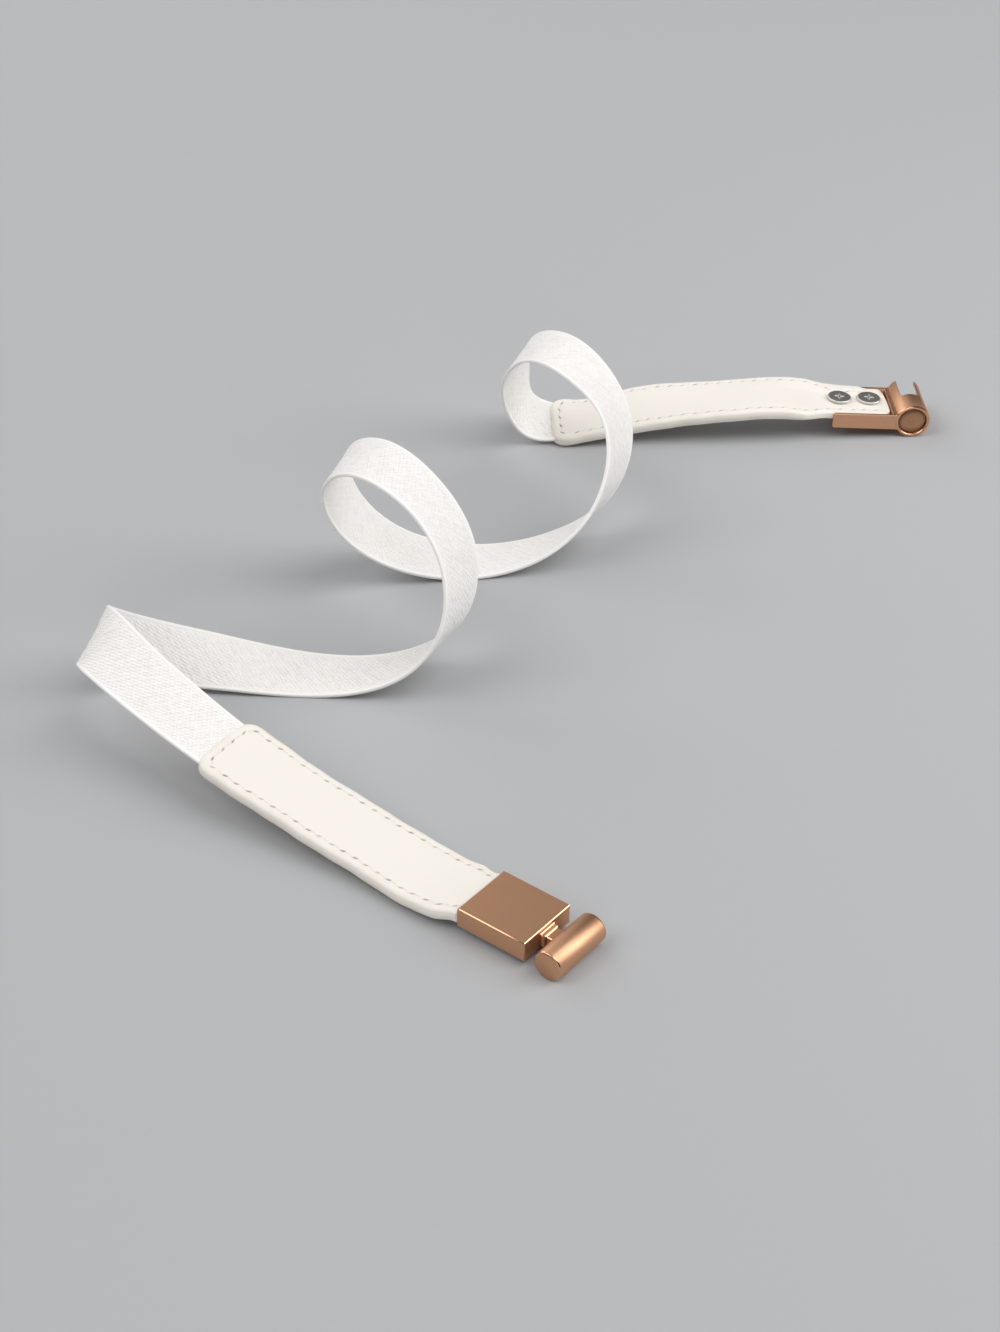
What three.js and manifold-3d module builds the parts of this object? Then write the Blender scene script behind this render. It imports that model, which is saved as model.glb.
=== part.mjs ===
import * as THREE from 'three';
import { mergeVertices } from 'three/addons/utils/BufferGeometryUtils.js';
import Module from 'manifold-3d';

// A skinny elastic belt that lies open on a flat surface, twisted into two loose loops.
// Millimetres, +Z up. The surface is z = 0 and the origin is under the middle of the belt.
// The belt's line runs from the bar buckle, over the elastic strap, to the socket buckle.

// The woven elastic strap.
const STRAP = { width: 19.6, thickness: 1.1, edgeRound: 0.35, step: 5 };

// The leather tabs, one folded and sewn over each end of the strap.
const TAB = {
  width: 23.8,
  thickness: 4,
  edgeRound: 1.5,
  cornerRound: 3.2,
  taperLength: 8,
  widthAtMouth: 20.4,
  shoulder: 1,
  widthInTray: 17.2,
  lengthInTray: 18.8,
  tipRound: 6,
  pocketDepth: 22,
  nearLength: 93,
  farLength: 96.5,
  step: 6,
};

// The clearance between pieces that touch on the real belt.
const GAP = 0.3;

// The metal trays that hold the tabs' ends. Local x runs from the tray's mouth to its end wall.
const TRAY = { width: 20, plate: 1.2, wall: 1.1, endWall: 1.3, cornerRound: 0.8 };
const BAR_TRAY = { length: 22.4, height: 6.2 };
const SOCKET_TRAY = { length: 22.2, height: 5.6 };

// The cross bar on its short stepped post.
const BAR = { radius: 4.4, length: 20.4, chamfer: 0.4, reach: 30, sides: 48 };
const POST = { baseWidth: 6, baseHeight: 3.8, baseLength: 1.4, neckWidth: 4.8, neckHeight: 3.2 };

// The slotted tube that takes the bar. It is closed by a disc at its near end.
const TUBE = { radius: 6, bore: 4.8, length: 20.4, chamfer: 0.3, reach: 27.8, sides: 64 };
const DISC = { recess: 1, thickness: 1 };
const SLOT = { width: 6.4, start: 9.2, cornerRound: 1 };

// The rivets, at these distances from the tray's mouth, and off its middle by the offset.
const RIVET = { headRadius: 4.1, headHeight: 1, shankRadius: 1.5, dishRadius: 1.1, dishDepth: 0.5 };
const RIVET_PLACES = [3.5, 13.9];
const RIVET_OFFSET = 1;
const RIVET_SIDES = 24;

// The middle of the belt's outline as laid out below, which is moved to the origin.
const MIDDLE = { x: 3.37, y: 0.52, z: -0.02 };

// Where each tray's mouth is, which way the tray points in plan, and how far its tip dips.
const BAR_BUCKLE = { x: -14.8, y: -122.4, z: 5.1, heading: -37.9, dip: 1.3, flip: 180 };
const SOCKET_BUCKLE = { x: 105.1, y: 140.5, z: 7.8, heading: 2.9, dip: 3.7, flip: 0 };

// The belt's middle line between the trays. turn is the heading of the belt's width, away from
// +Y to the left, and lean is how steeply the far edge rises above the near one, in degrees.
const ROUTE = [
  { place: 'near tab, sag by the tray', x: -22, y: -117.2, z: 3.9, turn: -38, lean: 0 },
  { place: 'near tab, low', x: -36.4, y: -105, z: 3.6, turn: -38, lean: 0 },
  { place: 'near tab, middle', x: -63.3, y: -84.3, z: 7.8, turn: -38, lean: 0 },
  { place: 'near tab, end', x: -88.5, y: -66, z: 14.8, turn: -39, lean: 5 },
  { place: 'climb', x: -103.8, y: -54.8, z: 20.8, turn: -42, lean: 11 },
  { place: 'before the fold', x: -116.5, y: -45, z: 26.5, turn: -46, lean: 19 },
  { place: 'fold, start', x: -122.2, y: -39.4, z: 28.6, turn: -48, lean: 27 },
  { place: 'fold, top', x: -126, y: -32.8, z: 27.7, turn: -47, lean: 38 },
  { place: 'fold, side', x: -127.9, y: -25.8, z: 24, turn: -38, lean: 46 },
  { place: 'fold, end', x: -126.4, y: -18.2, z: 17.6, turn: -23, lean: 48 },
  { place: 'after the fold', x: -117, y: -13.2, z: 10.8, turn: -12, lean: 42 },
  { place: 'standing run', x: -93.5, y: -13, z: 5.5, turn: -6, lean: 22 },
  { place: 'first pass on the floor', x: -60, y: -14.5, z: 1.6, turn: -4, lean: 4 },
  { place: 'loop 1, foot', x: -37, y: -16, z: 7.4, turn: -7, lean: -9 },
  { place: 'loop 1, right side', x: -23.5, y: -15, z: 21.6, turn: -22, lean: -20 },
  { place: 'loop 1, right shoulder', x: -22.5, y: -7, z: 41.5, turn: -35, lean: -17 },
  { place: 'loop 1, top right', x: -34, y: 6, z: 54.6, turn: -41, lean: -7 },
  { place: 'loop 1, top left', x: -49.6, y: 20.5, z: 56.7, turn: -42, lean: 10 },
  { place: 'loop 1, left side', x: -59.3, y: 32.5, z: 45.8, turn: -29, lean: 23 },
  { place: 'loop 1, left foot', x: -56.5, y: 42, z: 24, turn: -12, lean: 22 },
  { place: 'before the second pass', x: -40.5, y: 47, z: 7.3, turn: 2, lean: 12 },
  { place: 'second pass on the floor', x: -16, y: 50.5, z: 0.9, turn: 8, lean: 0 },
  { place: 'loop 2, foot', x: 9, y: 55, z: 6.5, turn: 6, lean: -18 },
  { place: 'loop 2, right side', x: 24.5, y: 62, z: 19.6, turn: -14, lean: -35 },
  { place: 'loop 2, right shoulder', x: 28.3, y: 74.6, z: 36.6, turn: -37, lean: -33 },
  { place: 'loop 2, top right', x: 20, y: 89.5, z: 46.5, turn: -49, lean: -13 },
  { place: 'loop 2, top left', x: 7.3, y: 105, z: 48.6, turn: -49, lean: 7 },
  { place: 'loop 2, left side', x: -2.5, y: 118.6, z: 38.8, turn: -36, lean: 24 },
  { place: 'loop 2, left foot', x: -3.5, y: 130, z: 19, turn: -25, lean: 27 },
  { place: 'before the far tab', x: 1.7, y: 134.7, z: 6.5, turn: -3, lean: 22 },
  { place: 'far tab, end', x: 15.6, y: 136, z: 3.7, turn: 4, lean: 5 },
  { place: 'far tab, quarter', x: 38, y: 138.5, z: 6.9, turn: 3, lean: 5 },
  { place: 'far tab, arch', x: 71.5, y: 139.4, z: 10.2, turn: 2, lean: 1 },
  { place: 'far tab, by the tray', x: 88, y: 140.3, z: 10.5, turn: 3, lean: 2 },
];

const wasm = await Module();
wasm.setup();

// A closed three.js geometry as a solid that can be joined and cut.
function solidOf(geometry) {
  const bare = geometry.clone();
  bare.deleteAttribute('normal');
  bare.deleteAttribute('uv');
  const merged = mergeVertices(bare, 1e-4);
  const mesh = new wasm.Mesh({
    numProp: 3,
    vertProperties: new Float32Array(merged.attributes.position.array),
    triVerts: new Uint32Array(merged.index.array),
  });
  return new wasm.Manifold(mesh);
}

// A solid as a three.js geometry again.
function geometryOf(solid) {
  const mesh = solid.getMesh();
  const geometry = new THREE.BufferGeometry();
  geometry.setAttribute('position', new THREE.BufferAttribute(mesh.vertProperties, 3));
  geometry.setIndex(new THREE.BufferAttribute(mesh.triVerts, 1));
  geometry.computeVertexNormals();
  return geometry;
}

// The smooth curve through the values at the knots, with no bend at its two ends.
function naturalSpline(knots, values) {
  const last = knots.length - 1;
  const bend = new Array(last + 1).fill(0);
  const carry = new Array(last + 1).fill(0);
  for (let i = 1; i < last; i += 1) {
    const before = knots[i] - knots[i - 1];
    const after = knots[i + 1] - knots[i];
    const rise = (values[i + 1] - values[i]) / after - (values[i] - values[i - 1]) / before;
    const pivot = 2 * (before + after) - before * carry[i - 1];
    carry[i] = after / pivot;
    bend[i] = (6 * rise - before * bend[i - 1]) / pivot;
  }
  for (let i = last - 1; i > 0; i -= 1) {
    bend[i] -= carry[i] * bend[i + 1];
  }
  return (place) => {
    let i = 0;
    while (i < last - 1 && place > knots[i + 1]) {
      i += 1;
    }
    const gap = knots[i + 1] - knots[i];
    const a = (knots[i + 1] - place) / gap;
    const b = (place - knots[i]) / gap;
    const curved = ((a ** 3 - a) * bend[i] + (b ** 3 - b) * bend[i + 1]) * (gap * gap) / 6;
    return a * values[i] + b * values[i + 1] + curved;
  };
}

// The frame of a tray: its own x axis points into the tray and z to its open side.
function trayRotation(pose) {
  const angles = [pose.flip, pose.dip, pose.heading].map(THREE.MathUtils.degToRad);
  return new THREE.Euler(...angles, 'ZYX');
}

function trayMatrix(pose) {
  const turn = new THREE.Quaternion().setFromEuler(trayRotation(pose));
  const place = new THREE.Vector3(pose.x, pose.y, pose.z);
  return new THREE.Matrix4().compose(place, turn, new THREE.Vector3(1, 1, 1));
}

// A row of the route on a tray's axis, at a depth behind its mouth.
function rowInTray(pose, depth) {
  const point = new THREE.Vector3(depth, 0, 0).applyMatrix4(trayMatrix(pose));
  return { x: point.x, y: point.y, z: point.z, turn: pose.heading, lean: 0 };
}

// The belt's line. Distances along it start at the mouth of the bar buckle's tray.
function makeLine() {
  const depths = [0, TAB.lengthInTray / 2, TAB.lengthInTray];
  const nearRows = depths.map((depth) => rowInTray(BAR_BUCKLE, depth)).reverse();
  const farRows = depths.map((depth) => rowInTray(SOCKET_BUCKLE, depth));
  const rows = [...nearRows, ...ROUTE, ...farRows];
  const knots = [-TAB.lengthInTray];
  for (let i = 1; i < rows.length; i += 1) {
    const [a, b] = [rows[i - 1], rows[i]];
    knots.push(knots[i - 1] + Math.hypot(b.x - a.x, b.y - a.y, b.z - a.z));
  }
  const column = (name) => naturalSpline(knots, rows.map((row) => row[name]));
  const [x, y, z, turn, lean] = ['x', 'y', 'z', 'turn', 'lean'].map(column);
  const pointAt = (place) => new THREE.Vector3(x(place), y(place), z(place));
  const small = 0.05;
  // along follows the belt, across is its width and back is its inner face's direction.
  const at = (place) => {
    const along = pointAt(place + small).sub(pointAt(place - small)).normalize();
    const heading = THREE.MathUtils.degToRad(turn(place));
    const rise = THREE.MathUtils.degToRad(lean(place));
    const level = Math.cos(rise);
    const across = new THREE.Vector3(-Math.sin(heading) * level, Math.cos(heading) * level, Math.sin(rise));
    across.addScaledVector(along, -across.dot(along)).normalize();
    return { point: pointAt(place), along, across, back: along.clone().cross(across) };
  };
  return { at, end: knots[knots.length - farRows.length] };
}

const line = makeLine();

// The outline of a strip's section: half its width, half its thickness, and rounded corners.
// fillers are extra points on each flat, so that a twisted strip stays smooth.
function stripSection(halfWidth, halfThickness, round, cornerSteps, fillers) {
  const outline = [];
  const centres = [
    [halfWidth - round, halfThickness - round],
    [round - halfWidth, halfThickness - round],
    [round - halfWidth, round - halfThickness],
    [halfWidth - round, round - halfThickness],
  ];
  centres.forEach(([u, v], corner) => {
    for (let i = 0; i <= cornerSteps; i += 1) {
      const angle = (corner + i / cornerSteps) * Math.PI / 2;
      outline.push([u + round * Math.cos(angle), v + round * Math.sin(angle)]);
    }
    const flat = corner % 2 === 0;
    for (let i = 1; flat && i <= fillers; i += 1) {
      const share = 1 - 2 * i / (fillers + 1);
      const side = corner === 0 ? 1 : -1;
      outline.push([side * share * (halfWidth - round), side * halfThickness]);
    }
  });
  return outline;
}

// A closed strip along the belt's line, with its own section at each place.
function stripGeometry(places, sectionAt) {
  const positions = [];
  const indices = [];
  const rings = places.map((place) => {
    const frame = line.at(place);
    return sectionAt(place).map(([u, v]) => frame.point.clone()
      .addScaledVector(frame.across, u)
      .addScaledVector(frame.back, v));
  });
  rings.flat().forEach((point) => positions.push(...point.toArray()));
  const count = rings[0].length;
  for (let ring = 0; ring < rings.length - 1; ring += 1) {
    for (let j = 0; j < count; j += 1) {
      const a = ring * count + j;
      const b = ring * count + (j + 1) % count;
      indices.push(a, b, b + count, a, b + count, a + count);
    }
  }
  [0, rings.length - 1].forEach((ring) => {
    const middle = line.at(places[ring]).point;
    const hub = positions.length / 3;
    positions.push(...middle.toArray());
    for (let j = 0; j < count; j += 1) {
      const a = ring * count + j;
      const b = ring * count + (j + 1) % count;
      indices.push(...(ring === 0 ? [hub, b, a] : [hub, a, b]));
    }
  });
  const geometry = new THREE.BufferGeometry();
  geometry.setAttribute('position', new THREE.Float32BufferAttribute(positions, 3));
  geometry.setIndex(indices);
  return geometry;
}

// Evenly spaced places from one distance along the line to another.
function evenPlaces(from, to, step) {
  const count = Math.ceil((to - from) / step);
  return Array.from({ length: count + 1 }, (_, i) => from + (to - from) * i / count);
}

const nearTabEnd = TAB.nearLength;
const farTabEnd = line.end - TAB.farLength;

function strapGeometry() {
  const inside = TAB.pocketDepth - GAP;
  const places = evenPlaces(nearTabEnd - inside, farTabEnd + inside, STRAP.step);
  const section = stripSection(STRAP.width / 2, STRAP.thickness / 2, STRAP.edgeRound, 1, 2);
  return stripGeometry(places, () => section);
}

// Half the tab's width at a distance from its sewn end, out of the whole length to its tip.
function tabHalfWidth(fromEnd, length) {
  const corner = TAB.cornerRound;
  const full = TAB.width / 2;
  if (fromEnd < corner) {
    return full - corner + Math.sqrt(corner ** 2 - (corner - fromEnd) ** 2);
  }
  const fromTip = length - fromEnd;
  const held = TAB.widthInTray / 2;
  if (fromTip < TAB.tipRound) {
    return held - TAB.tipRound + Math.sqrt(TAB.tipRound ** 2 - (TAB.tipRound - fromTip) ** 2);
  }
  const atMouth = TAB.widthAtMouth / 2;
  const beforeMouth = fromTip - TAB.lengthInTray;
  const taper = THREE.MathUtils.smoothstep(beforeMouth, TAB.shoulder, TAB.taperLength);
  const neck = THREE.MathUtils.clamp(beforeMouth / TAB.shoulder, 0, 1);
  return held + (atMouth - held) * neck + (full - atMouth) * taper;
}

// A tab from its sewn end to its round tip in the tray, with a pocket for the strap.
// direction is +1 where the tip is further along the belt's line than the sewn end.
function tabGeometry(sewnEnd, visibleLength, direction, pose) {
  const length = visibleLength + TAB.lengthInTray;
  const cornerShares = [0, 0.08, 0.25, 0.55, 1];
  const corners = cornerShares.map((share) => share * TAB.cornerRound);
  const tips = cornerShares.map((share) => length - share * TAB.tipRound).reverse();
  const taperStart = visibleLength - TAB.taperLength;
  const middle = evenPlaces(TAB.cornerRound, taperStart, TAB.step).slice(1, -1);
  const shoulderStart = visibleLength - TAB.shoulder;
  const taper = evenPlaces(taperStart, shoulderStart, TAB.taperLength / 5);
  const inTray = evenPlaces(visibleLength, length - TAB.tipRound, TAB.step).slice(0, -1);
  const distances = [...corners, ...middle, ...taper, ...inTray, ...tips];
  const placeOf = (distance) => sewnEnd + direction * distance;
  const sorted = direction > 0 ? distances : [...distances].reverse();
  const outer = stripGeometry(sorted.map(placeOf), (place) => {
    const half = tabHalfWidth(Math.abs(place - sewnEnd), length);
    return stripSection(half, TAB.thickness / 2, TAB.edgeRound, 3, 1);
  });
  const pocketEnds = [placeOf(-1), placeOf(TAB.pocketDepth)].sort((a, b) => a - b);
  const pocketSection = stripSection(STRAP.width / 2 + GAP, STRAP.thickness / 2 + GAP, STRAP.edgeRound, 1, 2);
  const pocket = stripGeometry(evenPlaces(...pocketEnds, STRAP.step), () => pocketSection);
  const holes = RIVET_PLACES.map((place) => {
    const hole = new THREE.CylinderGeometry(
      RIVET.shankRadius + GAP,
      RIVET.shankRadius + GAP,
      TAB.thickness * 2,
      RIVET_SIDES,
    );
    hole.rotateX(Math.PI / 2);
    hole.translate(place, RIVET_OFFSET, 0);
    return hole.applyMatrix4(trayMatrix(pose));
  });
  const cuts = [pocket, ...holes].map(solidOf);
  return geometryOf(cuts.reduce((body, cut) => body.subtract(cut), solidOf(outer)));
}

// The side view of a tray's block, with its free corners rounded, drawn as x and z.
function traySideShape(length, low, high) {
  const round = TRAY.cornerRound;
  const shape = new THREE.Shape();
  shape.moveTo(length, low);
  shape.lineTo(length, high);
  shape.lineTo(round, high);
  shape.absarc(round, high - round, round, Math.PI / 2, Math.PI, false);
  shape.lineTo(0, low + round);
  shape.absarc(round, low + round, round, Math.PI, Math.PI * 1.5, false);
  return shape;
}

// A block from its side view: x and z from the shape, and its width across y.
function sideBlock(shape, width) {
  const geometry = new THREE.ExtrudeGeometry(shape, { depth: width, bevelEnabled: false, curveSegments: 4 });
  geometry.rotateX(Math.PI / 2);
  geometry.translate(0, width / 2, 0);
  return solidOf(geometry);
}

const plateInside = -(TAB.thickness / 2 + GAP);
const plateOutside = plateInside - TRAY.plate;

// A tray that is open at its mouth and on its inner side. blockEnd is where its metal ends.
function traySolid(tray, blockEnd) {
  const rim = plateOutside + tray.height;
  const block = sideBlock(traySideShape(blockEnd, plateOutside, rim), TRAY.width);
  const hollowLength = tray.length - TRAY.endWall + 2;
  const hollowHeight = rim - plateInside + 2;
  const hollow = new THREE.BoxGeometry(hollowLength, TRAY.width - 2 * TRAY.wall, hollowHeight);
  hollow.translate(hollowLength / 2 - 2, 0, plateInside + hollowHeight / 2);
  return block.subtract(solidOf(hollow));
}

// A round bar along y with chamfered ends.
function roundBar(radius, length, chamfer, sides) {
  const half = length / 2;
  const profile = [
    [0, -half],
    [radius - chamfer, -half],
    [radius, chamfer - half],
    [radius, half - chamfer],
    [radius - chamfer, half],
    [0, half],
  ];
  return new THREE.LatheGeometry(profile.map(([r, y]) => new THREE.Vector2(r, y)), sides);
}

function barBuckleGeometry() {
  const bar = roundBar(BAR.radius, BAR.length, BAR.chamfer, BAR.sides);
  bar.translate(BAR.reach, 0, 0);
  const overlap = 0.5;
  const base = new THREE.BoxGeometry(POST.baseLength + overlap, POST.baseWidth, POST.baseHeight);
  base.translate(BAR_TRAY.length + (POST.baseLength - overlap) / 2, 0, 0);
  const neckLength = BAR.reach - BAR_TRAY.length;
  const neck = new THREE.BoxGeometry(neckLength, POST.neckWidth, POST.neckHeight);
  neck.translate(BAR_TRAY.length + neckLength / 2, 0, 0);
  const metal = [bar, base, neck].map(solidOf);
  return geometryOf(metal.reduce((body, piece) => body.add(piece), traySolid(BAR_TRAY, BAR_TRAY.length)));
}

// The slot's cutter: a straight slot with two round corners, open at the tube's far end.
function slotCutter() {
  const { width, start, cornerRound } = SLOT;
  const near = start - TUBE.length / 2;
  const far = TUBE.length / 2 + 2;
  const half = width / 2;
  const shape = new THREE.Shape();
  shape.moveTo(half, far);
  shape.lineTo(-half, far);
  shape.lineTo(-half, near + cornerRound);
  shape.absarc(cornerRound - half, near + cornerRound, cornerRound, Math.PI, Math.PI * 1.5, false);
  shape.lineTo(half - cornerRound, near);
  shape.absarc(half - cornerRound, near + cornerRound, cornerRound, Math.PI * 1.5, Math.PI * 2, false);
  const cutter = new THREE.ExtrudeGeometry(shape, { depth: TUBE.radius * 2, bevelEnabled: false, curveSegments: 4 });
  cutter.translate(TUBE.reach, 0, 0);
  return solidOf(cutter);
}

function socketBuckleGeometry() {
  const half = TUBE.length / 2;
  const past = 1;
  const outer = roundBar(TUBE.radius, TUBE.length, TUBE.chamfer, TUBE.sides);
  outer.translate(TUBE.reach, 0, 0);
  const discBack = DISC.recess + DISC.thickness - half;
  const bore = new THREE.CylinderGeometry(TUBE.bore, TUBE.bore, half + past - discBack, TUBE.sides);
  bore.translate(TUBE.reach, (half + past + discBack) / 2, 0);
  const recess = new THREE.CylinderGeometry(TUBE.bore, TUBE.bore, DISC.recess + past, TUBE.sides);
  recess.translate(TUBE.reach, (DISC.recess - past) / 2 - half, 0);
  const body = traySolid(SOCKET_TRAY, TUBE.reach - TUBE.bore * 0.7).add(solidOf(outer));
  return geometryOf(body.subtract(solidOf(bore)).subtract(solidOf(recess)).subtract(slotCutter()));
}

// A rivet along z: a shank through the leather and a round head with a dished middle.
function rivetGeometry() {
  const low = -(TAB.thickness / 2 - 0.1);
  const seat = TAB.thickness / 2 + GAP;
  const top = seat + RIVET.headHeight;
  const round = 0.35;
  const profile = [
    [0, low],
    [RIVET.shankRadius, low],
    [RIVET.shankRadius, seat],
    [RIVET.headRadius - round, seat],
    [RIVET.headRadius, seat + round],
    [RIVET.headRadius, top - round],
    [RIVET.headRadius - round, top],
    [RIVET.dishRadius, top],
    [RIVET.dishRadius * 0.7, top - RIVET.dishDepth],
    [0, top - RIVET.dishDepth],
  ];
  const rivet = new THREE.LatheGeometry(profile.map(([r, y]) => new THREE.Vector2(r, y)), RIVET_SIDES);
  rivet.rotateX(Math.PI / 2);
  return rivet;
}

const wovenWhite = new THREE.MeshStandardMaterial({ color: 0xf1f1ef, roughness: 0.9, metalness: 0 });
const creamLeather = new THREE.MeshStandardMaterial({ color: 0xefebdf, roughness: 0.45, metalness: 0 });
const roseGold = new THREE.MeshStandardMaterial({ color: 0xb8835f, roughness: 0.3, metalness: 1 });
const greySteel = new THREE.MeshStandardMaterial({ color: 0x77757a, roughness: 0.35, metalness: 1 });

function namedMesh(name, geometry, material) {
  const mesh = new THREE.Mesh(geometry, material);
  mesh.name = name;
  return mesh;
}

// A buckle half in its own frame, with the rivets that hold the leather in its tray.
function buckleGroup(name, geometry, pose, rivetNames) {
  const group = new THREE.Group();
  group.position.set(pose.x, pose.y, pose.z);
  group.rotation.copy(trayRotation(pose));
  group.add(namedMesh(name, geometry, roseGold));
  RIVET_PLACES.forEach((place, i) => {
    const rivet = namedMesh(rivetNames[i], rivetGeometry(), greySteel);
    rivet.position.set(place, RIVET_OFFSET, 0);
    group.add(rivet);
  });
  return group;
}

const belt = new THREE.Group();
belt.position.set(-MIDDLE.x, -MIDDLE.y, -MIDDLE.z);
belt.add(namedMesh('elastic_band', strapGeometry(), wovenWhite));
belt.add(namedMesh(
  'near_leather_tab',
  tabGeometry(nearTabEnd, TAB.nearLength, -1, BAR_BUCKLE),
  creamLeather,
));
belt.add(namedMesh(
  'far_leather_tab',
  tabGeometry(farTabEnd, TAB.farLength, 1, SOCKET_BUCKLE),
  creamLeather,
));
belt.add(buckleGroup('bar_buckle', barBuckleGeometry(), BAR_BUCKLE, ['near_rivet_1', 'near_rivet_2']));
belt.add(buckleGroup('socket_buckle', socketBuckleGeometry(), SOCKET_BUCKLE, ['far_rivet_1', 'far_rivet_2']));

export default belt;
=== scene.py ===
"""A skinny elastic belt that lies open in loose loops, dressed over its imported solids."""

import math

import bmesh
import bpy
import numpy as np
from bpy.props import FloatProperty, FloatVectorProperty, PointerProperty
from mathutils import Euler, Matrix, Vector


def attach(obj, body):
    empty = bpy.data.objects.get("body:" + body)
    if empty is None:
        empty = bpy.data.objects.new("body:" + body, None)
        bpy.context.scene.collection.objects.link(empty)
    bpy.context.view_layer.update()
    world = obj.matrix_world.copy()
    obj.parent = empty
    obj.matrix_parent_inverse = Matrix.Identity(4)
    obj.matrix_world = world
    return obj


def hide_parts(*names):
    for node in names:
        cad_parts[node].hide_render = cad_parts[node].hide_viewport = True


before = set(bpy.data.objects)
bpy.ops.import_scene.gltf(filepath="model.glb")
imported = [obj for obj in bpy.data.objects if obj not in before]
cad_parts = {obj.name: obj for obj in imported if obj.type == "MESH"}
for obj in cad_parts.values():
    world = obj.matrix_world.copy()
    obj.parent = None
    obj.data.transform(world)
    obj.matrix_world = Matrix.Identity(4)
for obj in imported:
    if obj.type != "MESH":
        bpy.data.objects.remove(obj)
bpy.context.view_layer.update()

bl_info = {
    "name": "Elastic belt",
    "version": (1, 0, 0),
    "blender": (4, 5, 0),
    "location": "View3D > Sidebar > Belt",
    "description": "Builds a skinny elastic belt, its clasp and a plain stage",
    "category": "Object",
}

MM = 0.001

# Lengths are in millimetres from here on, and angles in degrees, unless a line says otherwise.
# The middle of the belt's outline as the route has it, which is moved to the frame's origin.
MIDDLE = np.array([3.37, 0.52, -0.02])

# The route of the belt's middle line, as the solids have it: x, y, z, turn, lean.
# turn is the heading of the width, away from +Y to the left. lean is the far edge's rise.
ROUTE = (
    (-22, -117.2, 3.9, -38, 0),
    (-36.4, -105, 3.6, -38, 0),
    (-63.3, -84.3, 7.8, -38, 0),
    (-88.5, -66, 14.8, -39, 5),
    (-103.8, -54.8, 20.8, -42, 11),
    (-116.5, -45, 26.5, -46, 19),
    (-122.2, -39.4, 28.6, -48, 27),
    (-126, -32.8, 27.7, -47, 38),
    (-127.9, -25.8, 24, -38, 46),
    (-126.4, -18.2, 17.6, -23, 48),
    (-117, -13.2, 10.8, -12, 42),
    (-93.5, -13, 5.5, -6, 22),
    (-60, -14.5, 1.6, -4, 4),
    (-37, -16, 7.4, -7, -9),
    (-23.5, -15, 21.6, -22, -20),
    (-22.5, -7, 41.5, -35, -17),
    (-34, 6, 54.6, -41, -7),
    (-49.6, 20.5, 56.7, -42, 10),
    (-59.3, 32.5, 45.8, -29, 23),
    (-56.5, 42, 24, -12, 22),
    (-40.5, 47, 7.3, 2, 12),
    (-16, 50.5, 0.9, 8, 0),
    (9, 55, 6.5, 6, -18),
    (24.5, 62, 19.6, -14, -35),
    (28.3, 74.6, 36.6, -37, -33),
    (20, 89.5, 46.5, -49, -13),
    (7.3, 105, 48.6, -49, 7),
    (-2.5, 118.6, 38.8, -36, 24),
    (-3.5, 130, 19, -25, 27),
    (1.7, 134.7, 6.5, -3, 22),
    (15.6, 136, 3.7, 4, 5),
    (38, 138.5, 6.9, 3, 5),
    (71.5, 139.4, 10.2, 2, 1),
    (88, 140.3, 10.5, 3, 2),
)

# Sizes of the solids.
STRAP_WIDTH = 19.6
STRAP_THICKNESS = 1.1
TAB_WIDTH = 23.8
TAB_THICKNESS = 4.0
TAB_TAPER = 8.0
TAB_SHOULDER = 1.0
WIDTH_AT_MOUTH = 20.4
WIDTH_IN_TRAY = 17.2
LENGTH_IN_TRAY = 18.8
NEAR_TAB = 93.0
FAR_TAB = 96.5
RIVET_PLACES = (3.5, 13.9)
RIVET_OFFSET = 1.0
TUBE_REACH = 27.8
TUBE_LENGTH = 20.4

# How many points go round a rivet or a disc.
ROUND_SIDES = 96


class Tray:
    """Where a buckle's tray lies, by its mouth in millimetres and three angles in degrees."""

    def __init__(self, mouth, heading, dip, flip):
        self.heading = heading
        angles = [math.radians(a) for a in (flip, dip, heading)]
        place = Vector(mouth) - Vector(MIDDLE)
        self.matrix = Matrix.Translation(place * MM) @ Euler(angles, "XYZ").to_matrix().to_4x4()

    def row(self, depth):
        """A row of the route on the tray's axis, this deep behind its mouth."""
        point = np.array(self.matrix @ Vector((depth * MM, 0, 0))) / MM + MIDDLE
        return (*point, self.heading, 0)

    def placed(self, points):
        """Points in the tray's own millimetres, moved to where it lies, in metres."""
        matrix = np.array(self.matrix)
        return points * MM @ matrix[:3, :3].T + matrix[:3, 3]


NEAR_TRAY = Tray((-14.8, -122.4, 5.1), -37.9, 1.3, 180)
FAR_TRAY = Tray((105.1, 140.5, 7.8), 2.9, 3.7, 0)


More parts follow.
